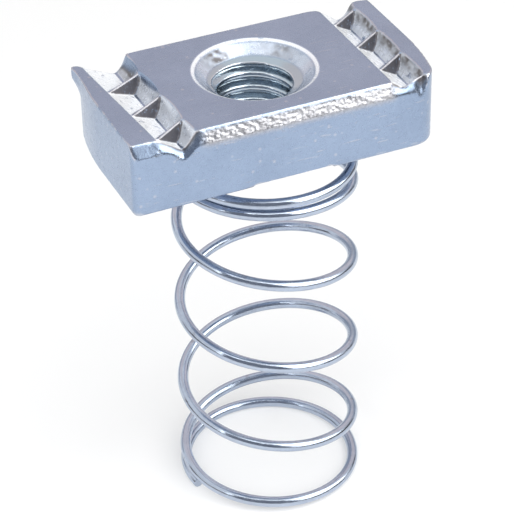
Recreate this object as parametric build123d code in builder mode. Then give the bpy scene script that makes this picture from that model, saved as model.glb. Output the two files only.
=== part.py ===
"""Strut channel nut with a hold-up spring: one toothed steel nut, one coiled wire.

All sizes are in millimetres. Z is up, the spring stands on z = 0 and the threaded
hole runs along Z. X is the nut's length, across the mouth of the channel, and Y is
its width, along the channel.
"""

import math
import os

from build123d import *

# Nut block
NUT_LENGTH = 35.0
NUT_WIDTH = 19.0
NUT_HEIGHT = 8.1
END_ARC_RADIUS = 0.93 * NUT_LENGTH
TURN_CORNER_RADIUS = 2.6
SHARP_CORNER_RADIUS = 0.7
SIDE_BEVEL_IN = 0.6
SIDE_BEVEL_DOWN = 1.5
END_EDGE_ROUND = 0.35
UNDER_EDGE_ROUND = 0.45

# Threaded hole, left plain here: 3/8 in - 16, cut to its minor diameter
THREAD_MAJOR = 9.525
THREAD_PITCH = 25.4 / 16
THREAD_MINOR = THREAD_MAJOR - 1.0825 * THREAD_PITCH
MOUTH_RADIUS = 6.3
MOUTH_CONE_RADIUS = THREAD_MAJOR / 2 + 0.35
MOUTH_DEPTH = 1.15
UNDER_MOUTH_RADIUS = THREAD_MAJOR / 2 + 0.25

# Toothed grooves: each is a trough along Y with a long ramp and a steep wall
PLATEAU_LEFT = -10.9
PLATEAU_RIGHT = 11.35
LEFT_RIM_EDGE = -15.0
RIGHT_RIM_EDGE = 15.15
GROOVE_DEPTH = 1.85
WALL_RUN = 1.15
WALL_BELLY = 0.25
FLARE_IN = 0.9
FLARE_DOWN = 0.85
FLARE_OUT = 0.45

# Skewed teeth in the grooves
TOOTH_PITCH = 5.3
TOOTH_SKEW = 34.0
TOOTH_DROP = 0.12
TOOTH_STEEP = 74.0
TOOTH_GENTLE = 50.0
TOOTH_TIP = 0.12
LEFT_TEETH_AT = 0.25
LEFT_TEETH = (-1, 0, 1)
RIGHT_TEETH_AT = 2.5
RIGHT_TEETH = (-2, -1, 0, 1)

# Coil spring
WIRE = 1.2
COIL_MEAN = 19.3
SPRING_HEIGHT = 43.66
START_ANGLE = 187.0
SEAT_DEPTH = 0.35
SEAT_CLEAR = 0.15
SEAT_GAP = 0.03
POINTS_PER_TURN = 12
# Turns from the lower end, and the share of the climb made by then: one closed turn
# on the floor, the open turns, closed turns under the nut, and the lead into the seat
COIL_STATIONS = (
    (0.0, 0.0),
    (0.58, 0.0),
    (0.96, 0.0308),
    (1.51, 0.1337),
    (2.51, 0.3799),
    (3.51, 0.6311),
    (4.31, 0.8251),
    (4.81, 0.9151),
    (5.25, 0.9316),
    (6.01, 0.9538),
    (6.58, 1.0),
)
TURNS = COIL_STATIONS[-1][0]

# Staked pips that hold the top coil against the underside
PIP_COUNT = 4
PIP_RADIUS = 0.75
PIP_DROP = 0.8
PIP_CLEAR = 0.05

TOP = SPRING_HEIGHT + NUT_HEIGHT
HALF_L = NUT_LENGTH / 2
HALF_W = NUT_WIDTH / 2


def coil_height(t):
    """Height of the wire's centre after t turns, with no overshoot between stations."""
    turns = [station[0] for station in COIL_STATIONS]
    low = WIRE / 2
    high = SPRING_HEIGHT + SEAT_DEPTH - SEAT_GAP - WIRE / 2
    heights = [low + (high - low) * station[1] for station in COIL_STATIONS]
    slopes = [(h1 - h0) / (t1 - t0) for t0, t1, h0, h1 in zip(turns, turns[1:], heights, heights[1:])]
    bends = [0.0]
    for before, after in zip(slopes, slopes[1:]):
        bends.append(0.0 if before * after <= 0 else 2 * before * after / (before + after))
    bends.append(slopes[-1])
    i = 0
    while i < len(turns) - 2 and t > turns[i + 1]:
        i += 1
    span = turns[i + 1] - turns[i]
    u = (t - turns[i]) / span
    start = (1 + 2 * u) * (1 - u) ** 2 * heights[i] + u * (1 - u) ** 2 * span * bends[i]
    end = u * u * (3 - 2 * u) * heights[i + 1] + u * u * (u - 1) * span * bends[i + 1]
    return start + end


def coil_point(t):
    """A point of the wire's centreline; the coil climbs clockwise seen from above."""
    angle = math.radians(START_ANGLE - 360 * t)
    radius = COIL_MEAN / 2
    return (radius * math.cos(angle), radius * math.sin(angle), coil_height(t))


def tooth_plane(edge_x, at_y):
    """Section plane of one tooth: its normal runs along the skewed crest."""
    skew = math.radians(TOOTH_SKEW)
    along = (math.cos(skew), math.sin(skew), 0)
    across = (-math.sin(skew), math.cos(skew), 0)
    return Plane(origin=(edge_x, at_y, TOP - TOOTH_DROP), x_dir=across, z_dir=along)


def trough_points(edge_low, edge_high, grow=0.0, sink=0.0):
    """Trough section in X and Z: ramp from edge_low, then the steep wall."""
    bottom = edge_high - WALL_RUN
    lid = TOP + 1.0
    ramp_slope = (bottom - edge_low) / GROOVE_DEPTH
    wall_slope = WALL_RUN / GROOVE_DEPTH
    depth = TOP - GROOVE_DEPTH - sink
    return [
        (edge_low - grow - ramp_slope * 1.0, lid),
        (bottom, depth),
        (edge_high - 0.45 * WALL_RUN - WALL_BELLY * 0.4 + grow * 0.6, depth + 0.35 * GROOVE_DEPTH),
        (edge_high + grow, TOP),
        (edge_high + grow + 0.1 * wall_slope, lid),
    ]


def trough_plane(at_y):
    """An upright plane across the groove; its local x is X and its local y is Z."""
    return Plane(origin=(0, at_y, 0), x_dir=(1, 0, 0), z_dir=(0, -1, 0))


def tooth_points():
    """Section of one tooth: a steep face, a narrow tip and a gentler back."""
    reach = GROOVE_DEPTH + 2.0
    steep = reach / math.tan(math.radians(TOOTH_STEEP))
    gentle = reach / math.tan(math.radians(TOOTH_GENTLE))
    return [
        (-TOOTH_TIP / 2 - steep, -reach),
        (TOOTH_TIP / 2 + gentle, -reach),
        (TOOTH_TIP / 2, 0),
        (-TOOTH_TIP / 2, 0),
    ]


# Cutting body of the two grooves: straight troughs, flared mouths, teeth left standing
TROUGHS = ((LEFT_RIM_EDGE, PLATEAU_LEFT), (PLATEAU_RIGHT, RIGHT_RIM_EDGE))
TEETH = [(PLATEAU_LEFT, LEFT_TEETH_AT + k * TOOTH_PITCH) for k in LEFT_TEETH]
TEETH += [(RIGHT_RIM_EDGE, RIGHT_TEETH_AT + k * TOOTH_PITCH) for k in RIGHT_TEETH]
with BuildPart() as grooves:
    for low_edge, high_edge in TROUGHS:
        with BuildSketch(trough_plane(HALF_W + 1.0)):
            Polygon(*trough_points(low_edge, high_edge), align=None)
        extrude(amount=NUT_WIDTH + 2.0)
        for side in (-1, 1):
            with BuildSketch(trough_plane(side * (HALF_W - FLARE_IN))):
                Polygon(*trough_points(low_edge, high_edge), align=None)
            with BuildSketch(trough_plane(side * (HALF_W + 0.05))):
                Polygon(*trough_points(low_edge, high_edge, FLARE_OUT, FLARE_DOWN), align=None)
            loft()
    for edge_x, at_y in TEETH:
        with BuildSketch(tooth_plane(edge_x, at_y)):
            Polygon(*tooth_points(), align=None)
        extrude(amount=8.0, both=True, mode=Mode.SUBTRACT)

# Channel nut: block with two turning corners, side bevels, grooves, hole and pips
with BuildPart() as channel_nut:
    arc_centre = HALF_L - END_ARC_RADIUS
    arc_low_x = arc_centre + math.sqrt(END_ARC_RADIUS**2 - HALF_W**2)
    arc_mid = -HALF_W / 2
    arc_mid_x = arc_centre + math.sqrt(END_ARC_RADIUS**2 - arc_mid**2)
    with BuildSketch(Plane.XY.offset(SPRING_HEIGHT)) as plan:
        with BuildLine():
            Line((-HALF_L, -HALF_W), (arc_low_x, -HALF_W))
            ThreePointArc((arc_low_x, -HALF_W), (arc_mid_x, arc_mid), (HALF_L, 0))
            Line((HALF_L, 0), (HALF_L, HALF_W))
            Line((HALF_L, HALF_W), (-arc_low_x, HALF_W))
            ThreePointArc((-arc_low_x, HALF_W), (-arc_mid_x, -arc_mid), (-HALF_L, 0))
            Line((-HALF_L, 0), (-HALF_L, -HALF_W))
        make_face()
        turning = [
            v for v in plan.vertices()
            if v.X * v.Y < -1 and abs(v.Y) > HALF_W - 0.01
        ]
        fillet(turning, TURN_CORNER_RADIUS)
        square = [v for v in plan.vertices() if v.X * v.Y > 1 and abs(v.Y) > HALF_W - 0.01]
        square = [v for v in square if abs(v.X) > HALF_L - 0.01]
        fillet(square, SHARP_CORNER_RADIUS)
    extrude(amount=NUT_HEIGHT)
    lower_rim = channel_nut.faces().sort_by(Axis.Z)[0].edges()
    fillet(lower_rim, UNDER_EDGE_ROUND)

    # long side bevels along the upper edges
    for side in (-1, 1):
        with BuildSketch(Plane(origin=(-HALF_L - 1, 0, 0), x_dir=(0, 1, 0), z_dir=(1, 0, 0))):
            Polygon(
                (side * (HALF_W - SIDE_BEVEL_IN), TOP),
                (side * (HALF_W + 0.01), TOP - SIDE_BEVEL_DOWN),
                (side * (HALF_W + 3), TOP - SIDE_BEVEL_DOWN),
                (side * (HALF_W + 3), TOP + 1),
                (side * (HALF_W - SIDE_BEVEL_IN), TOP + 1),
                align=None,
            )
        extrude(amount=NUT_LENGTH + 2, mode=Mode.SUBTRACT)

    # toothed grooves
    add(grooves.part, mode=Mode.SUBTRACT)

    # threaded hole with its countersunk mouth and a small lead-in below
    with BuildSketch(Plane.XY.offset(SPRING_HEIGHT - 1)):
        Circle(THREAD_MINOR / 2)
    extrude(amount=NUT_HEIGHT + 2, mode=Mode.SUBTRACT)
    with BuildSketch(Plane.XZ):
        with BuildLine():
            Polyline(
                (0, TOP + 0.5),
                (MOUTH_RADIUS + 0.25, TOP + 0.5),
                (MOUTH_RADIUS, TOP),
                (MOUTH_RADIUS - 0.45, TOP - 0.28),
                (MOUTH_CONE_RADIUS, TOP - MOUTH_DEPTH),
                (THREAD_MINOR / 2, TOP - MOUTH_DEPTH - 0.9),
                (0, TOP - MOUTH_DEPTH - 0.9),
                close=True,
            )
        make_face()
    revolve(axis=Axis.Z, mode=Mode.SUBTRACT)
    with BuildSketch(Plane.XZ):
        with BuildLine():
            Polyline(
                (0, SPRING_HEIGHT - 0.5),
                (UNDER_MOUTH_RADIUS + 0.5, SPRING_HEIGHT - 0.5),
                (UNDER_MOUTH_RADIUS, SPRING_HEIGHT),
                (THREAD_MINOR / 2, SPRING_HEIGHT + 0.8),
                (0, SPRING_HEIGHT + 0.8),
                close=True,
            )
        make_face()
    revolve(axis=Axis.Z, mode=Mode.SUBTRACT)

    # ring seat for the top coil, and the staked pips inside it
    with BuildSketch(Plane.XY.offset(SPRING_HEIGHT)):
        Circle(COIL_MEAN / 2 + WIRE / 2 + SEAT_CLEAR)
        Circle(COIL_MEAN / 2 - WIRE / 2 - SEAT_CLEAR, mode=Mode.SUBTRACT)
    extrude(amount=SEAT_DEPTH, mode=Mode.SUBTRACT)
    pip_at = COIL_MEAN / 2 - WIRE / 2 - PIP_CLEAR - PIP_RADIUS
    with BuildSketch(Plane.XY.offset(SPRING_HEIGHT + SEAT_DEPTH)):
        with PolarLocations(pip_at, PIP_COUNT, start_angle=45):
            Circle(PIP_RADIUS)
    extrude(amount=-(PIP_DROP + SEAT_DEPTH), taper=8)

# Spring: one length of round wire with closed turns at both ends
with BuildPart() as spring:
    count = int(round(TURNS * POINTS_PER_TURN))
    stations = [coil_point(TURNS * i / count) for i in range(count + 1)]
    with BuildLine() as wire_path:
        Spline(*stations)
    with BuildSketch(Plane(origin=wire_path.line @ 0, z_dir=wire_path.line % 0)):
        Circle(WIRE / 2)
    sweep(is_frenet=False)

channel_nut.part.label = "channel_nut"
spring.part.label = "spring"

os.makedirs("parts", exist_ok=True)
export_step(channel_nut.part, "parts/channel_nut.step")
export_step(spring.part, "parts/spring.step")
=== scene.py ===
"""Strut channel nut with its hold-up spring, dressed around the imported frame.

The nut is a zinc plated block with two toothed grooves, rough sheared side bevels and
a threaded hole. The spring is one bright coil of round wire that closes up when the
nut is pressed down. All lengths here are in metres.
"""
import logging
import math
from dataclasses import dataclass, field
from enum import Enum

import bmesh
import bpy
import numpy as np
from mathutils import Matrix, Vector


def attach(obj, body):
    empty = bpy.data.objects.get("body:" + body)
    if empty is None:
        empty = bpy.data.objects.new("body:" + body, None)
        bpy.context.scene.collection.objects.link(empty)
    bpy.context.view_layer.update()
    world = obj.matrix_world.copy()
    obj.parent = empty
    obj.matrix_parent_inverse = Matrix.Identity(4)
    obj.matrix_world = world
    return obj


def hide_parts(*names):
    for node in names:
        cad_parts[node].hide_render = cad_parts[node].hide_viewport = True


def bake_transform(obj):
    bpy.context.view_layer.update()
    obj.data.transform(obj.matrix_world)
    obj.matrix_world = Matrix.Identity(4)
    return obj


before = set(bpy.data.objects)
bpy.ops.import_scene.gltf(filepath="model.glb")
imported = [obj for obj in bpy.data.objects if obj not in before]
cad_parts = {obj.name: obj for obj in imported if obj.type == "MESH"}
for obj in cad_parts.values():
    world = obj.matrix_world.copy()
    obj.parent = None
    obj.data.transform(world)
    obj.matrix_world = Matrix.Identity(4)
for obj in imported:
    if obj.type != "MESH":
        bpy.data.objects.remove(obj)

Mesh, Object, Socket = bpy.types.Mesh, bpy.types.Object, bpy.types.NodeSocket
Array, Triple = np.ndarray, tuple[float, float, float]
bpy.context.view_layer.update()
LOG = logging.getLogger("strut_nut")
MM = 0.001
SPRING_TOP = 43.66 * MM
NUT_TOP = 51.76 * MM


class Mask(Enum):
    """Point masks that the nut's mesh carries for its finish."""

    EDGE = "edge_mask"
    CAST = "cast_mask"
    BORE = "bore_mask"
    # painted shade in the grooves, and dark patches on the hole's cone
    PAINTED_SHADE_AND_PATCHES = "painted_shade_and_patches_mask"
    # painted highlight on the groove ramps and walls and round the hole's mouth
    PAINTED_HIGHLIGHT = "painted_highlight_mask"


class Ray(Enum):
    """Kinds of ray that a stage finish answers to."""

    CAMERA = "Is Camera Ray"
    GLOSSY = "Is Glossy Ray"
    THROUGH = "Is Transmission Ray"


# ---- numeric helpers


def lattice_noise(points: Array, cell: float, seed: int) -> Array:
    """Smooth value noise at points, the same on every run.

    Args:
        points: An array of shape (n, 3), in metres.
        cell: The size of one noise cell, in metres.
        seed: Picks one of many patterns.

    Returns:
        One value from -1 to 1 for each point.
    """
    scaled = points / cell
    base = np.floor(scaled).astype(np.int64)
    part = scaled - base
    part = part * part * (3 - 2 * part)
    total = np.zeros(len(points))
    for corner in range(8):
        step = np.array([(corner >> axis) & 1 for axis in range(3)])
        key = base + step
        mixed = key[:, 0] * 73856093 ^ key[:, 1] * 19349663 ^ key[:, 2] * 83492791 ^ seed * 2654435
        mixed = (mixed ^ (mixed >> 13)) * 1274126177 & 0x7FFFFFFF
        value = ((mixed >> 7) & 0xFFFF) / 32767.5 - 1
        weight = np.prod(np.where(step == 1, part, 1 - part), axis=1)
        total += weight * value
    return total


def ease(values: Array, low: float, high: float) -> Array:
    """Smooth step from 0 at low to 1 at high, for an array of values."""
    share = np.clip((values - low) / (high - low), 0, 1)
    return share * share * (3 - 2 * share)


def points_of(mesh: Mesh) -> Array:
    """The vertex positions of a mesh as an (n, 3) array."""
    flat = np.zeros(len(mesh.vertices) * 3)
    mesh.vertices.foreach_get("co", flat)
    return flat.reshape(-1, 3)


def move_points(mesh: Mesh, place: Array) -> None:
    """Puts the vertices of a mesh at new positions."""
    mesh.vertices.foreach_set("co", place.ravel())
    mesh.update()


def edge_ends(mesh: Mesh) -> tuple[Array, Array]:
    """The two vertex numbers of every edge."""
    pairs = np.zeros(len(mesh.edges) * 2, np.int64)
    mesh.edges.foreach_get("vertices", pairs)
    one, two = pairs.reshape(-1, 2).T
    return one, two


def normals_of(mesh: Mesh) -> Array:
    """The vertex normals of a mesh as an (n, 3) array."""
    flat = np.zeros(len(mesh.vertices) * 3)
    mesh.vertex_normals.foreach_get("vector", flat)
    return flat.reshape(-1, 3)


def store_mask(mesh: Mesh, mask: Mask, values: Array) -> None:
    """Writes one point mask into the mesh."""
    layer = mesh.attributes.new(mask.value, "FLOAT", "POINT")
    layer.data.foreach_set("value", values.astype(np.float32))


def convexity(mesh: Mesh) -> Array:
    """How sharply the surface turns outwards at each vertex, in 1/metres.

    Args:
        mesh: A closed mesh with shared vertices.

    Returns:
        Positive values on outer edges and negative ones in inner corners.
    """
    one, two = edge_ends(mesh)
    place, normal = points_of(mesh), normals_of(mesh)
    run = place[two] - place[one]
    turn = normal[two] - normal[one]
    bend = np.sum(run * turn, axis=1) / np.maximum(np.sum(run * run, axis=1), 1e-14)
    total = np.zeros(len(place))
    count = np.zeros(len(place))
    for end in (one, two):
        np.add.at(total, end, bend)
        np.add.at(count, end, 1)
    mean = total / np.maximum(count, 1)
    spread = np.zeros(len(place))
    np.add.at(spread, one, mean[two])
    np.add.at(spread, two, mean[one])
    return 0.5 * mean + 0.5 * spread / np.maximum(count, 1)


def relax(mesh: Mesh, share: Array, rounds: int) -> None:
    """Rounds the surface where share is above zero.

    Args:
        mesh: The mesh to change.
        share: How strongly each vertex gives way, from 0 to 1.
        rounds: How many times the vertices are averaged.
    """
    one, two = edge_ends(mesh)
    near = (share[one] > 0) | (share[two] > 0)
    start = np.concatenate([one[near], two[near]])
    end = np.concatenate([two[near], one[near]])
    place = points_of(mesh)
    count = np.maximum(np.bincount(start, minlength=len(place)), 1)
    for _ in range(rounds):
        total = [np.bincount(start, place[end, axis], len(place)) for axis in range(3)]
        mean = np.stack([part / count for part in total], axis=1)
        place += 0.5 * share[:, None] * (mean - place)
    move_points(mesh, place)


def grid_mesh(name: str, rings: Array, caps: bool) -> Mesh:
    """A tube mesh from rings of points, closed round each ring.

    Args:
        name: The mesh's name.
        rings: Points of shape (rings, points per ring, 3).
        caps: Whether both ends are closed by a fan.

    Returns:
        The new mesh.
    """
    count, around = rings.shape[:2]
    points = rings.reshape(-1, 3)
    one = np.arange(around)
    two = (one + 1) % around
    faces: list[list[int]] = []
    for k in range(count - 1):
        low, high = k * around, (k + 1) * around
        faces += np.stack([low + one, low + two, high + two, high + one], 1).tolist()
    if caps:
        points = np.vstack([points, rings[0].mean(0), rings[-1].mean(0)])
        first, last = len(points) - 2, len(points) - 1
        high = (count - 1) * around
        faces += [[first, int(b), int(a)] for a, b in zip(one, two)]
        faces += [[last, int(high + a), int(high + b)] for a, b in zip(one, two)]
    mesh = bpy.data.meshes.new(name)
    mesh.from_pydata(points.tolist(), [], faces)
    mesh.update()
    return mesh


def place_object(name: str, data: bpy.types.ID) -> Object:
    """Links a new object that shows a mesh, a lamp or a camera."""
    obj = bpy.data.objects.new(name, data)
    bpy.context.scene.collection.objects.link(obj)
    return obj


def baked_mesh(obj: Object) -> Mesh:
    """The object's mesh with its modifiers applied, as a new mesh."""
    bpy.context.view_layer.update()
    graph = bpy.context.evaluated_depsgraph_get()
    return bpy.data.meshes.new_from_object(obj.evaluated_get(graph))


def settle(obj: Object) -> None:
    """Applies the object's modifiers to its own mesh."""
    mesh = baked_mesh(obj)
    obj.modifiers.clear()
    old = obj.data
    obj.data = mesh
    bpy.data.meshes.remove(old)


# ---- shading helpers


class Tree:
    """A short way to add and join nodes in one node tree."""

    def __init__(self, tree: bpy.types.NodeTree) -> None:
        """Keeps the tree that the calls work on."""
        self.tree = tree

    def node(self, kind: str, **values: object) -> bpy.types.Node:
        """Adds a node.

        Args:
            kind: The node's type name.
            **values: Properties by name; a trailing number as in in0 sets that input.

        Returns:
            The new node.
        """
        node = self.tree.nodes.new(kind)
        for key, value in values.items():
            if key[:2] == "in" and key[2:].isdigit():
                node.inputs[int(key[2:])].default_value = value
            else:
                setattr(node, key, value)
        return node

    def join(self, start: Socket, end: Socket) -> None:
        """Links an output to an input."""
        self.tree.links.new(start, end)

    def feed(self, term: object, slot: Socket) -> None:
        """Links a socket to an input, or sets the input to a number or a colour."""
        if isinstance(term, Socket):
            self.join(term, slot)
        else:
            slot.default_value = (*term, 1.0) if isinstance(term, tuple) else term

    def math(self, operation: str, *terms: object, clamp: bool = False) -> Socket:
        """A Math node on numbers or sockets.

        Args:
            operation: The node's operation.
            *terms: Numbers or output sockets.
            clamp: Whether the result is held from 0 to 1.

        Returns:
            The output socket.
        """
        node = self.node("ShaderNodeMath", operation=operation, use_clamp=clamp)
        for slot, term in zip(node.inputs, terms):
            self.feed(term, slot)
        return node.outputs[0]

    def span(self, value: Socket, low: object, high: object) -> Socket:
        """Smooth ramp of a value from 0 at low to 1 at high."""
        node = self.node("ShaderNodeMapRange", interpolation_type="SMOOTHSTEP")
        self.join(value, node.inputs["Value"])
        for slot, term in (("From Min", low), ("From Max", high)):
            self.feed(term, node.inputs[slot])
        return node.outputs["Result"]

    def blend(self, mask: object, one: object, two: object) -> Socket:
        """Mixes two colours by a mask.

        Args:
            mask: A number or a socket, 0 for the first colour.
            one: A colour or a socket.
            two: A colour or a socket.

        Returns:
            The mixed colour's socket.
        """
        node = self.node("ShaderNodeMix", data_type="RGBA")
        for slot, term in ((0, mask), (6, one), (7, two)):
            self.feed(term, node.inputs[slot])
        return node.outputs[2]

    def noise(self, place: Socket, scale: object, detail: float, rough: float) -> Socket:
        """A noise value at a place.

        Args:
            place: The coordinates' socket.
            scale: Cells per metre, a number or a socket.
            detail: Octaves.
            rough: How strong the small octaves are.

        Returns:
            The noise value's socket.
        """
        node = self.node("ShaderNodeTexNoise")
        self.join(place, node.inputs["Vector"])
        self.feed(scale, node.inputs["Scale"])
        node.inputs["Detail"].default_value = detail
        node.inputs["Roughness"].default_value = rough
        return node.outputs["Fac"]

    def squeezed(self, place: Socket, turn: tuple, scale: tuple) -> Socket:
        """Coordinates turned by Euler angles and then scaled on each axis."""
        node = self.node("ShaderNodeMapping", vector_type="POINT")
        node.inputs["Rotation"].default_value = turn
        node.inputs["Scale"].default_value = scale
        self.join(place, node.inputs["Vector"])
        return node.outputs["Vector"]

    def share(self, value: Socket, amount: float) -> Socket:
        """A value scaled by a fixed amount."""
        return self.math("MULTIPLY", value, amount)

    def relief(self, height: Socket, strength: float, depth: float, shader: bpy.types.Node) -> None:
        """Gives a shader fine relief, up to a depth in metres, from a height value."""
        bump = self.node("ShaderNodeBump")
        bump.inputs["Strength"].default_value = strength
        bump.inputs["Distance"].default_value = depth
        self.join(height, bump.inputs["Height"])
        self.join(bump.outputs["Normal"], shader.inputs["Normal"])


def bare_tree(owner: bpy.types.Material | bpy.types.World) -> Tree:
    """An empty node tree on a material or a world."""
    owner.use_nodes = True
    owner.node_tree.nodes.clear()
    return Tree(owner.node_tree)


class EffectGroup:
    """Base of the shared shader groups: named sockets, built once, placed often."""

    name = "effect"
    takes: tuple[tuple[str, str, float], ...] = ()
    gives: tuple[tuple[str, str], ...] = ()

    def __init__(self) -> None:
        """Builds the group's tree with its sockets."""
        self.tree = bpy.data.node_groups.new(self.name, "ShaderNodeTree")
        for label, kind, start in self.takes:
            socket = self.tree.interface.new_socket(label, in_out="INPUT", socket_type=kind)
            if kind == "NodeSocketFloat":
                socket.default_value = start
        for label, kind in self.gives:
            self.tree.interface.new_socket(label, in_out="OUTPUT", socket_type=kind)
        kit = Tree(self.tree)
        self.entry = kit.node("NodeGroupInput")
        self.exit = kit.node("NodeGroupOutput")
        self.fill(kit)

    def fill(self, kit: Tree) -> None:
        """Adds the nodes between the group's sockets."""
        raise NotImplementedError

    def place(self, kit: Tree, **values: object) -> bpy.types.Node:
        """Puts the group in a material.

        Args:
            kit: The material's tree.
            **values: Numbers or sockets by input name.

        Returns:
            The group's node.
        """
        node = kit.node("ShaderNodeGroup", node_tree=self.tree)
        for label, value in values.items():
            kit.feed(value, node.inputs[label])
        return node


FLOAT, VECTOR = "NodeSocketFloat", "NodeSocketVector"


class ToneDrift(EffectGroup):
    """Slow clouds and fine mottling in the plating."""

    name = "tone_drift"
    takes = (("Place", VECTOR, 0.0), ("Cloud", FLOAT, 90.0), ("Mottle", FLOAT, 900.0))
    gives = (("Cloud", FLOAT), ("Mottle", FLOAT))

    def fill(self, kit: Tree) -> None:
        """Two noises, each stretched to use the whole range."""
        place = self.entry.outputs["Place"]
        cloud = kit.noise(place, self.entry.outputs["Cloud"], 3.0, 0.55)
        mottle = kit.noise(place, self.entry.outputs["Mottle"], 3.0, 0.6)
        kit.join(kit.span(cloud, 0.32, 0.68), self.exit.inputs["Cloud"])
        kit.join(kit.span(mottle, 0.35, 0.68), self.exit.inputs["Mottle"])


class Scratches(EffectGroup):
    """Fine handling lines in three directions, broken up along their length."""

    name = "scratches"
    takes = (("Place", VECTOR, 0.0), ("Density", FLOAT, 0.5))
    gives = (("Lines", FLOAT),)

    def fill(self, kit: Tree) -> None:
        """Stretched noise cut to thin lines, the strongest line kept."""
        place = self.entry.outputs["Place"]
        level = kit.math("SUBTRACT", 0.75, kit.math("MULTIPLY", self.entry.outputs["Density"], 0.12))
        found = None
        for turn, scale in (
            ((0.0, 0.0, 0.35), (260.0, 5200.0, 2600.0)),
            ((0.2, 0.0, 1.25), (300.0, 6400.0, 3000.0)),
            ((0.0, 0.3, -0.75), (380.0, 7200.0, 3400.0)),
        ):
            line = kit.noise(kit.squeezed(place, turn, scale), 1.0, 2.0, 0.5)
            line = kit.span(line, level, kit.math("ADD", level, 0.06))
            found = line if found is None else kit.math("MAXIMUM", found, line)
        kit.join(found, self.exit.inputs["Lines"])


class Specks(EffectGroup):
    """Small bright and dark dots where the plating is pitted or knocked."""

    name = "specks"
    takes = (("Place", VECTOR, 0.0), ("Scale", FLOAT, 1500.0), ("Share", FLOAT, 0.1))
    gives = (("Dots", FLOAT),)

    def fill(self, kit: Tree) -> None:
        """Round cells, of which a share is kept at random."""
        cell = kit.node("ShaderNodeTexVoronoi", feature="F1")
        kit.join(self.entry.outputs["Place"], cell.inputs["Vector"])
        kit.join(self.entry.outputs["Scale"], cell.inputs["Scale"])
        near = kit.math("SUBTRACT", 1.0, kit.span(cell.outputs["Distance"], 0.12, 0.34))
        split = kit.node("ShaderNodeSeparateColor")
        kit.join(cell.outputs["Color"], split.inputs[0])
        kept = kit.math("LESS_THAN", split.outputs[0], self.entry.outputs["Share"])
        kit.join(kit.math("MULTIPLY", near, kept), self.exit.inputs["Dots"])


class EdgeWear(EffectGroup):
    """Outer edges worn bright, read from the mesh's own edge mask."""

    name = "edge_wear"
    takes = (("Place", VECTOR, 0.0), ("Low", FLOAT, 0.3), ("High", FLOAT, 0.8))
    gives = (("Worn", FLOAT),)

    def fill(self, kit: Tree) -> None:
        """The mask, broken up by noise so that the rub is uneven."""
        mask = kit.node("ShaderNodeAttribute", attribute_name=Mask.EDGE.value)
        rub = kit.noise(self.entry.outputs["Place"], 1400.0, 3.0, 0.6)
        rub = kit.math("MULTIPLY", kit.math("SUBTRACT", rub, 0.5), 0.5)
        uneven = kit.math("ADD", mask.outputs["Fac"], rub)
        worn = kit.span(uneven, self.entry.outputs["Low"], self.entry.outputs["High"])
        kit.join(worn, self.exit.inputs["Worn"])


@dataclass
class Effects:
    """The shared effect groups, built once."""

    drift: ToneDrift = field(default_factory=ToneDrift)
    scratches: Scratches = field(default_factory=Scratches)
    specks: Specks = field(default_factory=Specks)
    wear: EdgeWear = field(default_factory=EdgeWear)


def new_material(name: str) -> tuple[bpy.types.Material, Tree, bpy.types.Node]:
    """A new node material.

    Args:
        name: The material's name.

    Returns:
        The material, its tree helper and its Principled shader.
    """
    material = bpy.data.materials.new(name)
    material.use_nodes = True
    return material, Tree(material.node_tree), material.node_tree.nodes["Principled BSDF"]


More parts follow.
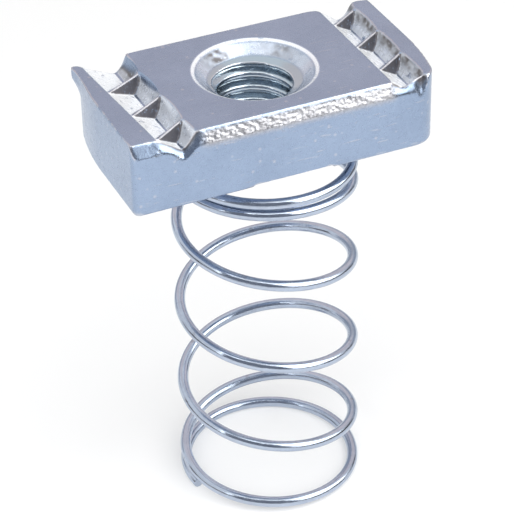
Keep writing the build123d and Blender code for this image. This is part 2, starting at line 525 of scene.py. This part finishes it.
@dataclass(frozen=True)
class ZincPlate:
    """Bright blue-white zinc plating on the pressed steel nut."""

    light: Triple = (0.33, 0.415, 0.565)
    shade: Triple = (0.28, 0.355, 0.49)
    worn: Triple = (0.62, 0.62, 0.66)
    bore: Triple = (0.46, 0.54, 0.60)
    cast: Triple = (0.60, 0.58, 0.58)
    # painted shade in the grooves, and dark patches on the hole's cone
    painted_shade_and_patches: Triple = (0.085, 0.072, 0.068)
    # painted highlight: near white and less metallic
    painted_highlight: Triple = (0.94, 0.95, 0.96)
    grit_dark: Triple = (0.40, 0.37, 0.36)
    roughness: float = 0.22
    relief_depth: float = 0.00004

    def build(self, effects: Effects) -> bpy.types.Material:
        """The nut's material.

        Args:
            effects: The shared effect groups.

        Returns:
            The finished material.
        """
        material, kit, shader = new_material("zinc_plate")
        place = kit.node("ShaderNodeTexCoord").outputs["Object"]
        drift = effects.drift.place(kit, Place=place, Cloud=130.0, Mottle=1600.0)
        lines = effects.scratches.place(kit, Place=place, Density=0.6).outputs["Lines"]
        dots = effects.specks.place(kit, Place=place, Scale=1300.0, Share=0.12).outputs["Dots"]
        worn = effects.wear.place(kit, Place=place, Low=0.30, High=0.75).outputs["Worn"]
        masks = {
            mask: kit.node("ShaderNodeAttribute", attribute_name=mask.value).outputs["Fac"]
            for mask in (Mask.CAST, Mask.BORE, Mask.PAINTED_SHADE_AND_PATCHES, Mask.PAINTED_HIGHLIGHT)
        }
        mottle = drift.outputs["Mottle"]
        tone = kit.math("ADD", kit.share(drift.outputs["Cloud"], 0.7), kit.share(mottle, 0.25), clamp=True)
        # painted highlight, broken into streaks by noise
        streak = kit.span(kit.noise(place, 1300.0, 3.0, 0.6), 0.18, 0.44)
        painted_highlight = kit.math("MULTIPLY", masks[Mask.PAINTED_HIGHLIGHT], streak)
        # painted shade and the cone's dark patches, broken up by noise
        patch_weight = kit.span(kit.noise(place, 3000.0, 3.0, 0.65), 0.24, 0.44)
        broken_shade_and_patches = kit.math("MULTIPLY", masks[Mask.PAINTED_SHADE_AND_PATCHES], patch_weight)
        grit = kit.span(kit.noise(place, 3600.0, 2.0, 0.6), 0.35, 0.62)
        colour = kit.blend(tone, self.light, self.shade)
        for mask, amount, over in (
            (lines, 0.30, self.worn),
            (dots, 0.35, self.worn),
            (masks[Mask.CAST], 0.75, kit.blend(grit, self.grit_dark, self.cast)),
            (masks[Mask.BORE], 0.85, self.bore),
            (painted_highlight, 0.95, self.painted_highlight),
            (broken_shade_and_patches, 0.9, self.painted_shade_and_patches),
            (worn, 0.55, self.worn),
        ):
            colour = kit.blend(kit.share(mask, amount), colour, over)
        kit.join(colour, shader.inputs["Base Color"])
        # the painted highlight is made mostly non-metallic
        kit.join(kit.math("SUBTRACT", 1.0, kit.share(painted_highlight, 0.9)), shader.inputs["Metallic"])
        rough = kit.math("ADD", self.roughness, kit.share(mottle, 0.07))
        for mask, amount in (
            (masks[Mask.CAST], 0.10), (broken_shade_and_patches, 0.25), (masks[Mask.BORE], -0.06), (worn, -0.06),
        ):
            rough = kit.math("ADD", rough, kit.share(mask, amount))
        kit.join(rough, shader.inputs["Roughness"])
        height = kit.math("ADD", kit.share(mottle, 0.25), kit.share(lines, -0.6))
        height = kit.math("ADD", height, kit.share(dots, -0.8))
        kit.relief(height, 0.3, self.relief_depth, shader)
        return material


@dataclass(frozen=True)
class BrightWire:
    """Drawn spring wire with a thin bright plating."""

    light: Triple = (0.50, 0.57, 0.69)
    shade: Triple = (0.40, 0.46, 0.57)
    line: Triple = (0.30, 0.31, 0.35)
    roughness: float = 0.12
    relief_depth: float = 0.00002

    def build(self, effects: Effects) -> bpy.types.Material:
        """The wire's material.

        Args:
            effects: The shared effect groups.

        Returns:
            The finished material.
        """
        material, kit, shader = new_material("bright_wire")
        shader.inputs["Metallic"].default_value = 1.0
        place = kit.node("ShaderNodeTexCoord").outputs["Object"]
        run = kit.node("ShaderNodeAttribute", attribute_name=CoilSpring.RUN).outputs["Vector"]
        drift = effects.drift.place(kit, Place=place, Cloud=160.0, Mottle=2200.0)
        dots = effects.specks.place(kit, Place=run, Scale=900.0, Share=0.10).outputs["Dots"]
        drawn = kit.noise(kit.squeezed(run, (0.0, 0.0, 0.0), (180.0, 9000.0, 9000.0)), 1.0, 3.0, 0.6)
        drawn = kit.span(drawn, 0.42, 0.66)
        mottle = drift.outputs["Mottle"]
        tone = kit.math("ADD", kit.share(drift.outputs["Cloud"], 0.6), kit.share(mottle, 0.25), clamp=True)
        colour = kit.blend(tone, self.light, self.shade)
        colour = kit.blend(kit.share(drawn, 0.22), colour, self.line)
        colour = kit.blend(kit.share(dots, 0.45), colour, self.line)
        kit.join(colour, shader.inputs["Base Color"])
        rough = kit.math("ADD", self.roughness, kit.share(drawn, 0.07))
        rough = kit.math("ADD", rough, kit.share(mottle, 0.05))
        kit.join(rough, shader.inputs["Roughness"])
        height = kit.math("ADD", kit.share(drawn, -0.7), kit.share(dots, -0.6))
        kit.relief(height, 0.25, self.relief_depth, shader)
        return material


# ---- the nut


@dataclass
class HoleCutter:
    """What countersinking and tapping take out: the mouth, the thread and the lead-in."""

    major_radius: float = 4.7625 * MM
    core_radius: float = 3.93 * MM
    pitch: float = 1.5875 * MM
    lift: float = 0.85 * MM
    mouth: tuple[tuple[float, float], ...] = ((0.0, 6.72), (0.17, 6.30), (1.3, 5.0), (1.65, 3.93))
    lead_in: tuple[tuple[float, float], ...] = ((0.0, 5.01), (0.8, 3.93))
    plug_radius: float = 6.55 * MM
    flank_angle: float = 30.0
    around: int = 160
    per_pitch: int = 18

    def thread(self, phase: Array) -> Array:
        """Radius of the thread form.

        Args:
            phase: Share of a pitch, 0.5 at the middle of the root.

        Returns:
            The radius for each phase.
        """
        offset = np.abs(phase - 0.5) * self.pitch
        drop = (offset - self.pitch / 16) / math.tan(math.radians(self.flank_angle))
        return self.major_radius - np.clip(drop, 0, self.major_radius - self.core_radius)

    def build(self) -> Object:
        """The cutter as a closed mesh object."""
        bottom, top = SPRING_TOP - 0.6 * MM, NUT_TOP + 0.4 * MM
        rows = int((top - bottom) / self.pitch * self.per_pitch) + 1
        heights = np.linspace(bottom, top, rows)
        angles = np.linspace(0, 2 * math.pi, self.around, endpoint=False)
        z, a = np.meshgrid(heights, angles, indexing="ij")
        mouth, lead_in = np.array(self.mouth) * MM, np.array(self.lead_in) * MM
        reach = self.thread(np.mod((z - self.lift) / self.pitch - a / (2 * math.pi), 1.0))
        reach = np.maximum(reach, np.interp(NUT_TOP - z, mouth[:, 0], mouth[:, 1]))
        reach = np.maximum(reach, np.interp(z - SPRING_TOP, lead_in[:, 0], lead_in[:, 1]))
        rings = np.stack([reach * np.cos(a), reach * np.sin(a), z], axis=2)
        return place_object("hole_cutter", grid_mesh("hole_cutter", rings, caps=True))

    def plug(self) -> Object:
        """A round filler for the frame's plain hole, so that the cutter shapes it anew."""
        angles = np.linspace(0, 2 * math.pi, self.around, endpoint=False)
        levels = (SPRING_TOP + 0.02 * MM, NUT_TOP - 0.01 * MM)
        x, y = self.plug_radius * np.cos(angles), self.plug_radius * np.sin(angles)
        rings = [np.stack([x, y, np.full(self.around, level)], 1) for level in levels]
        return place_object("hole_plug", grid_mesh("hole_plug", np.array(rings), caps=True))


@dataclass
class Groove:
    """One toothed groove, as it lies in the finished nut.

    The edges are at x = low and x = high where y is 0, and lean is their slope along y.
    The teeth move by teeth_move, one of them then stands at tooth_at, and scoop is how
    far the steep wall bows back between two teeth.
    """

    low: float
    high: float
    lean: float
    teeth_move: float
    scoop: float
    tooth_at: float
    pitch: float = 5.4 * MM
    frame_pitch: float = 5.3 * MM

    def edges(self, y: Array) -> tuple[Array, Array]:
        """X of the groove's two upper edges at each y."""
        return self.low - self.lean * y, self.high - self.lean * y

    def inside(self, place: Array, margin: float) -> Array:
        """How far each point lies in the groove, from 0 to 1, over a soft margin."""
        low, high = self.edges(place[:, 1])
        left = ease(place[:, 0], low - margin, low)
        return left * (1 - ease(place[:, 0], high, high + margin))


@dataclass
class ChannelNut:
    """The nut: block, grooves, teeth, thread, with worn edges and rough side bevels."""

    NODE = "channel_nut"
    weld_gap: float = 2e-6
    voxel: float = 0.13 * MM
    smoothing: int = 3
    most_triangles: int = 190_000
    half_width: float = 9.5 * MM
    rim_drop: float = 0.24 * MM
    grit_height: float = 0.034 * MM
    grain_cells: Triple = (0.24 * MM, 0.15 * MM, 1.1 * MM)
    mouth_rounds: int = 22
    # dark patches on the hole's cone: angle and spread in degrees, and strength
    cone_dark_patches: tuple[Triple, ...] = ((112.0, 20.0, 1.0), (38.0, 22.0, 0.6))
    left: Groove = field(default_factory=lambda: Groove(
        low=-15.4 * MM, high=-10.9 * MM, lean=0.085,
        teeth_move=-0.85 * MM, scoop=0.38 * MM, tooth_at=-0.6 * MM,
    ))
    right: Groove = field(default_factory=lambda: Groove(
        low=11.35 * MM, high=15.2 * MM, lean=0.0,
        teeth_move=-0.5 * MM, scoop=0.22 * MM, tooth_at=2.05 * MM,
    ))
    cutter: HoleCutter = field(default_factory=HoleCutter)

    def build(self, finish: bpy.types.Material) -> Object:
        """Makes the dressed nut.

        Args:
            finish: The nut's material.

        Returns:
            The nut's object, riding on its body.
        """
        nut = self.threaded_blank()
        self.even_skin(nut)
        self.lean_left_groove(nut.data)
        self.move_teeth(nut.data)
        self.scoop_walls(nut.data)
        self.droop_right_rim(nut.data)
        self.round_mouths(nut.data)
        self.roughen_bevels(nut.data)
        self.thin_out(nut)
        self.mark_zones(nut.data)
        nut.data.materials.clear()
        nut.data.materials.append(finish)
        nut.data.shade_smooth()
        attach(nut, "nut")
        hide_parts(self.NODE)
        return nut

    def threaded_blank(self) -> Object:
        """A copy of the frame's nut with the mouth and the thread cut into it."""
        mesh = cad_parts[self.NODE].data.copy()
        weld = bmesh.new()
        weld.from_mesh(mesh)
        bmesh.ops.remove_doubles(weld, verts=weld.verts, dist=self.weld_gap)
        weld.to_mesh(mesh)
        weld.free()
        mesh.name = "nut_block"
        nut = place_object("nut_block", mesh)
        for tool, operation in ((self.cutter.plug(), "UNION"), (self.cutter.build(), "DIFFERENCE")):
            cut = nut.modifiers.new(tool.name, "BOOLEAN")
            cut.operation = operation
            cut.solver = "EXACT"
            cut.object = tool
            settle(nut)
            bpy.data.objects.remove(tool)
        return nut

    def even_skin(self, nut: Object) -> None:
        """Gives the block an even skin and softly broken edges."""
        skin = nut.modifiers.new("skin", "REMESH")
        skin.mode = "VOXEL"
        skin.voxel_size = self.voxel
        soften = nut.modifiers.new("soften", "SMOOTH")
        soften.factor = 0.5
        soften.iterations = self.smoothing
        settle(nut)

    def lean_left_groove(self, mesh: Mesh) -> None:
        """Turns the left groove a little, as its punch stood, and widens it at the rim."""
        place = points_of(mesh)
        x, y, z = place.T
        across = ease(x, -17.3 * MM, -15.8 * MM) * (1 - ease(x, -10.5 * MM, -8.6 * MM))
        near_top = ease(z, NUT_TOP - 3.2 * MM, NUT_TOP - 0.9 * MM)
        inner = ease(x, -15.0 * MM, -11.4 * MM)
        widen = 0.4 * MM * (1 - inner)
        place[:, 0] -= ((self.left.lean - 0.055 * inner) * y + widen) * across * near_top
        move_points(mesh, place)

    def move_teeth(self, mesh: Mesh) -> None:
        """Sets the teeth of each groove at their own places along it."""
        place = points_of(mesh)
        free = 1 - ease(np.abs(place[:, 1]), 7.4 * MM, 9.3 * MM)
        free = free * ease(place[:, 2], NUT_TOP - 2.8 * MM, NUT_TOP - 2.1 * MM)
        for groove in (self.left, self.right):
            move = place[:, 1] * (groove.pitch / groove.frame_pitch - 1) + groove.teeth_move
            place[:, 1] += move * free * groove.inside(place, 0.5 * MM)
        move_points(mesh, place)

    def scoop_walls(self, mesh: Mesh) -> None:
        """Pushes the steep groove walls back between the teeth, as the punch leaves them."""
        place = points_of(mesh)
        depth = ease(place[:, 2], NUT_TOP - 2.0 * MM, NUT_TOP - 1.2 * MM)
        for groove in (self.left, self.right):
            edge = groove.edges(place[:, 1])[1]
            beside = np.exp(-(((place[:, 0] - edge) / (0.75 * MM)) ** 2))
            phase = (place[:, 1] - groove.tooth_at) / groove.pitch
            bow = np.sin(np.pi * (phase - np.floor(phase))) ** 0.7
            place[:, 0] += groove.scoop * beside * bow * depth
        move_points(mesh, place)

    def droop_right_rim(self, mesh: Mesh) -> None:
        """Lets the right rim fall away a little towards its outer edge."""
        place = points_of(mesh)
        start = self.right.high + 0.3 * MM
        out = np.clip((place[:, 0] - start) / (2.0 * MM), 0, 1)
        near_top = ease(place[:, 2], NUT_TOP - 2.5 * MM, NUT_TOP - 0.8 * MM)
        place[:, 2] -= self.rim_drop * out ** 1.3 * near_top
        move_points(mesh, place)

    def round_mouths(self, mesh: Mesh) -> None:
        """Rolls over the metal where the grooves run out at the long sides."""
        place = points_of(mesh)
        low = ease(place[:, 2], NUT_TOP - 4.2 * MM, NUT_TOP - 3.2 * MM)
        side = ease(np.abs(place[:, 1]), 8.1 * MM, 8.9 * MM)
        share = np.zeros(len(place))
        for groove in (self.left, self.right):
            share = np.maximum(share, groove.inside(place, 1.2 * MM))
        relax(mesh, share * side * low, self.mouth_rounds)

    def roughen_bevels(self, mesh: Mesh) -> None:
        """Tears the sheared bevels along the two long upper edges."""
        place, normal = points_of(mesh), normals_of(mesh)
        torn = self.bevel_share(place, normal)
        coarse, fine, broad = self.grain_cells
        grain = lattice_noise(place, coarse, 3) + 0.8 * lattice_noise(place, fine, 5)
        wave = lattice_noise(place, broad, 9)
        push = torn * self.grit_height * (grain + 0.5 * wave - 0.3)
        place += normal * push[:, None]
        limit = self.half_width - 0.01 * MM
        place[:, 1] = np.clip(place[:, 1], -limit, limit)
        move_points(mesh, place)

    def bevel_share(self, place: Array, normal: Array) -> Array:
        """How far each vertex belongs to a torn side bevel, from 0 to 1."""
        outer = ease(np.abs(place[:, 1]), self.half_width - 1.0 * MM, self.half_width - 0.35 * MM)
        height = ease(place[:, 2], NUT_TOP - 2.2 * MM, NUT_TOP - 1.3 * MM)
        height *= 1 - ease(place[:, 2], NUT_TOP - 0.45 * MM, NUT_TOP - 0.1 * MM)
        between = ease(place[:, 0], -10.6 * MM, -9.0 * MM)
        between *= 1 - ease(place[:, 0], 10.9 * MM, 12.2 * MM)
        tilt = ease(np.abs(normal[:, 1]), 0.35, 0.8)
        return outer * height * tilt * between

    def thin_out(self, nut: Object) -> None:
        """Brings the triangles under the limit, flat places first."""
        nut.data.calc_loop_triangles()
        count = len(nut.data.loop_triangles)
        if count > self.most_triangles:
            thin = nut.modifiers.new("thin", "DECIMATE")
            thin.ratio = self.most_triangles / count
            settle(nut)

    def mark_zones(self, mesh: Mesh) -> None:
        """Stores the masks that the finish reads, painted shade and painted highlight among them."""
        place, normal = points_of(mesh), normals_of(mesh)
        reach = np.hypot(place[:, 0], place[:, 1])
        below = 1 - ease(place[:, 2], NUT_TOP - 0.15 * MM, NUT_TOP - 0.02 * MM)
        below *= 1 - ease(np.abs(place[:, 1]), self.half_width - 0.6 * MM, self.half_width - 0.3 * MM)
        ragged = 0.75 + 0.6 * lattice_noise(place, 0.45 * MM, 21)
        zones = (
            self.groove_zones(place, normal, below, ragged),
            self.mouth_zones(place, reach, below, ragged),
        )
        store_mask(mesh, Mask.EDGE, np.clip(convexity(mesh) * 0.45 * MM, 0, 1))
        store_mask(mesh, Mask.CAST, self.bevel_share(place, normal))
        store_mask(mesh, Mask.BORE, 1 - ease(reach, 4.8 * MM, 5.2 * MM))
        # painted shade in the grooves, together with the cone's dark patches
        store_mask(mesh, Mask.PAINTED_SHADE_AND_PATCHES, np.maximum.reduce([zone[0] for zone in zones]))
        # painted highlight on the groove ramps and walls, the ring and the cone
        store_mask(mesh, Mask.PAINTED_HIGHLIGHT, np.maximum.reduce([zone[1] for zone in zones]))

    def groove_zones(self, place: Array, normal: Array, below: Array, ragged: Array) -> tuple[Array, Array]:
        """Painted shade on the near faces of the teeth and the upper walls, and painted highlight on the
        ramps and steep walls.

        Args:
            place: The vertex positions.
            normal: The vertex normals.
            below: 1 under the top face, away from the long sides.
            ragged: Noise that breaks the dark edge up.

        Returns:
            The painted shade share and the painted highlight share of each vertex.
        """
        painted_shade_and_patches, painted_highlight = np.zeros(len(place)), np.zeros(len(place))
        for groove in (self.left, self.right):
            here = groove.inside(place, 0.25 * MM) * below
            # painted highlight on the ramps and the steep walls
            ramp = here * ease(normal[:, 0], 0.15, 0.4) * ease(normal[:, 2], 0.5, 0.75)
            wall = 0.55 * here * ease(-normal[:, 0], 0.35, 0.6)
            # painted shade on the near faces of the teeth
            painted_shade_and_patches = np.maximum(painted_shade_and_patches, here * ease(-normal[:, 1], 0.28, 0.5))
            painted_highlight = np.maximum(painted_highlight, np.maximum(ramp, wall))
        # painted shade at the far end of the left groove and high on the right groove's steep wall
        steep = ease(-normal[:, 0], 0.45, 0.7)
        far = ease(place[:, 1], 5.2 * MM, 5.8 * MM) * self.left.inside(place, 0.5 * MM) * below
        wall = self.right.inside(place, 0.3 * MM) * steep * below
        upper = ease(place[:, 2], NUT_TOP - 1.15 * MM, NUT_TOP - 0.55 * MM)
        dark = np.maximum(far * steep, np.clip(wall * upper * ragged, 0, 1))
        return np.maximum(painted_shade_and_patches, dark), painted_highlight

    def mouth_zones(self, place: Array, reach: Array, below: Array, ragged: Array) -> tuple[Array, Array]:
        """Dark patches on the hole's cone, and painted highlight on the ring round it and, more faintly, on
        the cone.

        Args:
            place: The vertex positions.
            reach: Each vertex's distance from the hole's axis.
            below: 1 under the top face, away from the long sides.
            ragged: Noise that breaks the dark patches up.

        Returns:
            The dark patch share and the painted highlight share of each vertex.
        """
        turn = np.degrees(np.arctan2(place[:, 1], place[:, 0]))
        cone = ease(reach, 4.95 * MM, 5.2 * MM) * (1 - ease(reach, 6.0 * MM, 6.4 * MM)) * below
        # painted highlight ring round the mouth
        ring = ease(reach, 6.20 * MM, 6.35 * MM) * (1 - ease(reach, 6.60 * MM, 6.72 * MM))
        ring *= ease(place[:, 2], NUT_TOP - 0.6 * MM, NUT_TOP - 0.3 * MM)
        # dark patches on the cone round the given angles
        patch_weight = np.zeros(len(place))
        for middle, spread, strength in self.cone_dark_patches:
            patch_weight += strength * np.exp(-(((turn - middle) / spread) ** 2))
        return np.clip(cone * patch_weight * ragged, 0, 1), np.maximum(0.75 * ring, 0.35 * cone)


# ---- the spring


@dataclass
class CoilSpring:
    """The spring: one length of round wire with closed turns at both ends."""

    NODE = "spring"
    RUN = "wire_run"
    wire_radius: float = 0.6 * MM
    foot_radius: float = 9.64 * MM
    seat_radius: float = 9.50 * MM
    axis_x: float = 0.75 * MM
    start_angle: float = 189.0
    low: float = 0.6 * MM
    high: float = 43.38 * MM
    stations: tuple[tuple[float, float], ...] = (
        (0.0, 0.0), (0.58, 0.0), (0.96, 0.027), (1.51, 0.128), (2.51, 0.374), (3.51, 0.625),
        (4.31, 0.817), (4.81, 0.908), (5.25, 0.925), (6.01, 0.948), (6.58, 0.991),
    )
    foot_turns: float = 0.58
    seat_turns: float = 5.25
    burr: float = 0.09 * MM
    around: int = 32
    per_turn: int = 150

    def heights(self, turns: Array) -> Array:
        """Height of the wire's centre after each number of turns."""
        at = np.array([s[0] for s in self.stations])
        level = self.low + (self.high - self.low) * np.array([s[1] for s in self.stations])
        slope = np.diff(level) / np.diff(at)
        bend = np.zeros(len(at))
        for i in range(1, len(at) - 1):
            before, after = slope[i - 1], slope[i]
            bend[i] = 0.0 if before * after <= 0 else 2 * before * after / (before + after)
        bend[-1] = slope[-1]
        i = np.clip(np.searchsorted(at, turns, side="left") - 1, 0, len(at) - 2)
        span = at[i + 1] - at[i]
        u = (turns - at[i]) / span
        start = (1 + 2 * u) * (1 - u) ** 2 * level[i] + u * (1 - u) ** 2 * span * bend[i]
        return start + u * u * (3 - 2 * u) * level[i + 1] + u * u * (u - 1) * span * bend[i + 1]

    def centre(self, turns: Array) -> Array:
        """Points of the wire's centreline; it climbs clockwise seen from above."""
        angle = np.radians(self.start_angle - 360.0 * turns)
        share = np.clip((turns - 1.0) / (self.seat_turns - 1.0), 0, 1)
        radius = self.foot_radius + (self.seat_radius - self.foot_radius) * share
        return np.stack(
            [self.axis_x + radius * np.cos(angle), radius * np.sin(angle), self.heights(turns)], axis=1
        )

    def build(self, finish: bpy.types.Material) -> Object:
        """Makes the dressed spring.

        Args:
            finish: The wire's material.

        Returns:
            The spring's object, riding on its body.
        """
        total = self.stations[-1][0]
        turns = np.linspace(0, total, int(total * self.per_turn) + 1)
        line = self.centre(turns)
        rings, run, share = self.wire_rings(line)
        mesh = grid_mesh("coil_spring", rings, caps=True)
        layer = mesh.attributes.new(self.RUN, "FLOAT_VECTOR", "POINT")
        layer.data.foreach_set("vector", run.astype(np.float32).ravel())
        mesh.materials.append(finish)
        mesh.shade_smooth()
        self.crease_cuts(mesh, len(rings))
        spring = place_object("coil_spring", mesh)
        foot, seat = self.heights(np.array([self.foot_turns, self.seat_turns]))
        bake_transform(spring)
        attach(spring, "coil")
        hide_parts(self.NODE)
        return spring

    def wire_rings(self, line: Array) -> tuple[Array, Array, Array]:
        """Rings of points round the centreline.

        Args:
            line: Points of the centreline.

        Returns:
            The rings, each point's place on the straightened wire, and each point's
            height of the wire's centre.
        """
        ahead = np.gradient(line, axis=0)
        ahead /= np.linalg.norm(ahead, axis=1)[:, None]
        outward = (line - np.array([self.axis_x, 0.0, 0.0])) * np.array([1.0, 1.0, 0.0])
        outward -= ahead * np.sum(outward * ahead, axis=1)[:, None]
        outward /= np.linalg.norm(outward, axis=1)[:, None]
        upward = np.cross(outward, ahead)
        length = np.concatenate([[0.0], np.cumsum(np.linalg.norm(np.diff(line, axis=0), axis=1))])
        order = [0, 0] + list(range(len(line))) + [len(line) - 1] * 2
        radii = np.full(len(order), self.wire_radius)
        radii[[0, -1]] = self.wire_radius - self.burr
        radii[[1, -2]] = self.wire_radius - 0.3 * self.burr
        shift = np.zeros(len(order))
        shift[[1, 2]] = 0.25 * self.burr, self.burr
        shift[[-3, -2]] = -self.burr, -0.25 * self.burr
        angles = np.linspace(0, 2 * math.pi, self.around, endpoint=False)
        rings, run, share = [], [], []
        for index, radius, move in zip(order, radii, shift):
            base = line[index] + ahead[index] * move
            spoke = np.outer(np.cos(angles), outward[index]) + np.outer(np.sin(angles), upward[index])
            rings.append(base + radius * spoke)
            flat = np.full(self.around, length[index] + move)
            run.append(np.stack([flat, radius * np.cos(angles), radius * np.sin(angles)], axis=1))
            share.append(np.full(self.around, line[index][2]))
        run.append(np.array([[0.0, 0.0, 0.0], [length[-1], 0.0, 0.0]]))
        share.append(np.array([line[0][2], line[-1][2]]))
        return np.array(rings), np.vstack(run), np.concatenate(share)

    def crease_cuts(self, mesh: Mesh, rings: int) -> None:
        """Keeps the two cut ends of the wire crisp."""
        last = (rings - 1) * self.around
        ends = set(range(self.around)) | set(range(last, last + self.around))
        for edge in mesh.edges:
            if edge.vertices[0] in ends and edge.vertices[1] in ends:
                edge.use_edge_sharp = True


# ---- stage and light


@dataclass
class Card:
    """A curved board round the object that only shows in its reflections."""

    name: str
    colour: Triple
    radius: float
    middle_deg: float
    half_deg: float
    low: float
    high: float
    steps: int = 32

    def build(self) -> Object:
        """The board as a stage object that casts no shadow and isn't seen directly."""
        first, last = self.middle_deg - self.half_deg, self.middle_deg + self.half_deg
        arc = [
            (self.radius * math.cos(angle), self.radius * math.sin(angle))
            for angle in np.radians(np.linspace(first, last, self.steps))
        ]
        points = [(x, y, level) for level in (self.low, self.high) for x, y in arc]
        faces = [[i, i + 1, self.steps + i + 1, self.steps + i] for i in range(self.steps - 1)]
        mesh = bpy.data.meshes.new(self.name)
        mesh.from_pydata(points, [], faces)
        material = bpy.data.materials.new(self.name)
        kit = bare_tree(material)
        glow = kit.node("ShaderNodeEmission")
        glow.inputs["Color"].default_value = (*self.colour, 1.0)
        out = kit.node("ShaderNodeOutputMaterial")
        kit.join(glow.outputs[0], out.inputs["Surface"])
        mesh.materials.append(material)
        card = place_object(self.name, mesh)
        card.visible_camera = False
        card.visible_diffuse = False
        card.visible_shadow = False
        return card


@dataclass
class Studio:
    """A plain pale floor, a white surround, one soft lamp and the reflection boards."""

    floor_radius: float = 0.42
    floor_sides: int = 128
    ambient: float = 0.35
    pale: float = 0.60
    lift: float = 0.33
    cards: tuple[Card, ...] = (
        Card("low_dark_card", (0.10, 0.085, 0.08), 0.27, -100.0, 118.0, 0.0, 0.078),
        Card("front_dark_card", (0.22, 0.23, 0.26), 0.26, -116.0, 42.0, 0.0, 0.47),
        Card("white_card", (3.8, 3.8, 3.7), 0.30, -84.0, 78.0, 0.078, 0.66),
        Card("warm_card", (0.95, 0.83, 0.81), 0.36, 64.0, 50.0, 0.125, 0.50),
        Card("back_card", (0.42, 0.46, 0.52), 0.37, 64.0, 62.0, 0.0, 0.125),
    )

    def build(self) -> None:
        """Makes the floor, the surround, the boards and the lamp."""
        self.world()
        self.floor()
        for card in self.cards:
            card.build()
        self.lamp("key_softbox", power=6.0, aim=(-96.0, 52.0), reach=0.46, size=(1.05, 0.72))

    def seen(self, kit: Tree) -> Socket:
        """1 for the rays that show the background, 0 for those that only light."""
        path = kit.node("ShaderNodeLightPath")
        found = kit.math("MAXIMUM", path.outputs[Ray.CAMERA.value], path.outputs[Ray.GLOSSY.value])
        return kit.math("MAXIMUM", found, path.outputs[Ray.THROUGH.value])

    def world(self) -> None:
        """White where it is seen, softer where it only lights."""
        world = bpy.data.worlds.new("white_room")
        bpy.context.scene.world = world
        kit = bare_tree(world)
        back = kit.node("ShaderNodeBackground")
        back.inputs["Color"].default_value = (1.0, 1.0, 1.0, 1.0)
        level = kit.node("ShaderNodeMapRange")
        kit.join(self.seen(kit), level.inputs["Value"])
        level.inputs["To Min"].default_value = self.ambient
        level.inputs["To Max"].default_value = 1.0
        kit.join(level.outputs["Result"], back.inputs["Strength"])
        out = kit.node("ShaderNodeOutputWorld")
        kit.join(back.outputs[0], out.inputs["Surface"])

    def floor(self) -> None:
        """A pale round floor that keeps the object's soft shadow."""
        shape = bmesh.new()
        bmesh.ops.create_circle(shape, cap_ends=True, segments=self.floor_sides, radius=self.floor_radius)
        mesh = bpy.data.meshes.new("pale_floor")
        shape.to_mesh(mesh)
        shape.free()
        material = bpy.data.materials.new("pale_floor")
        kit = bare_tree(material)
        matt = kit.node("ShaderNodeBsdfDiffuse")
        matt.inputs["Color"].default_value = (self.pale, self.pale, self.pale, 1.0)
        glow = kit.node("ShaderNodeEmission")
        lift = kit.math("MULTIPLY", self.seen(kit), self.lift)
        kit.join(lift, glow.inputs["Strength"])
        both = kit.node("ShaderNodeAddShader")
        kit.join(matt.outputs[0], both.inputs[0])
        kit.join(glow.outputs[0], both.inputs[1])
        out = kit.node("ShaderNodeOutputMaterial")
        kit.join(both.outputs[0], out.inputs["Surface"])
        mesh.materials.append(material)
        place_object("pale_floor", mesh)

    def lamp(
        self, name: str, power: float, aim: tuple[float, float], reach: float, size: tuple[float, float]
    ) -> None:
        """A soft rectangular lamp that faces the nut; only the boards show as reflections.

        Args:
            name: The lamp's name.
            power: Its power in watts.
            aim: Azimuth and elevation as seen from the nut, in degrees.
            reach: Its distance in metres.
            size: Its width and height in metres.
        """
        light = bpy.data.lights.new(name, "AREA")
        light.energy = power
        light.shape = "RECTANGLE"
        light.size, light.size_y = size
        obj = place_object(name, light)
        obj.visible_glossy = False
        azimuth, elevation = (math.radians(a) for a in aim)
        level = math.cos(elevation)
        ray = Vector((level * math.cos(azimuth), level * math.sin(azimuth), math.sin(elevation)))
        target = Vector((0.0, 0.0, SPRING_TOP))
        obj.location = target + ray * reach
        obj.rotation_euler = ray.to_track_quat("Z", "Y").to_euler()


@dataclass
class Viewpoint:
    """The camera, close above the front left of the nut."""

    eye: Triple = (-82.28 * MM, -188.0 * MM, 166.56 * MM)
    azimuth: float = -23.589
    elevation: float = 34.001
    roll: float = -1.301
    lens: float = 158.27

    def build(self) -> Object:
        """Adds the camera and makes it the scene's own."""
        data = bpy.data.cameras.new("view")
        data.lens = self.lens
        data.sensor_width = 36.0
        data.clip_start = 0.01
        camera = place_object("view", data)
        a, e, r = (math.radians(v) for v in (self.azimuth, self.elevation, self.roll))
        right = Vector((math.cos(a), math.sin(a), 0.0))
        up = Vector((-math.sin(a) * math.sin(e), math.cos(a) * math.sin(e), math.cos(e)))
        back = Vector((math.sin(a) * math.cos(e), -math.cos(a) * math.cos(e), math.sin(e)))
        level = right * math.cos(r) + up * math.sin(r)
        upright = up * math.cos(r) - right * math.sin(r)
        turn = Matrix((level, upright, back)).transposed()
        camera.matrix_world = Matrix.Translation(self.eye) @ turn.to_4x4()
        bpy.context.scene.camera = camera
        return camera


def main() -> None:
    """Builds the view, the stage and the two pieces."""
    logging.basicConfig(level=logging.INFO, format="%(name)s: %(message)s")
    bpy.context.scene.view_settings.view_transform = "Standard"
    Viewpoint().build()
    Studio().build()
    effects = Effects()
    nut = ChannelNut().build(ZincPlate().build(effects))
    LOG.info("%s: %d faces", nut.name, len(nut.data.polygons))
    spring = CoilSpring().build(BrightWire().build(effects))
    LOG.info("%s: %d faces", spring.name, len(spring.data.polygons))


if __name__ == "__main__":
    main()
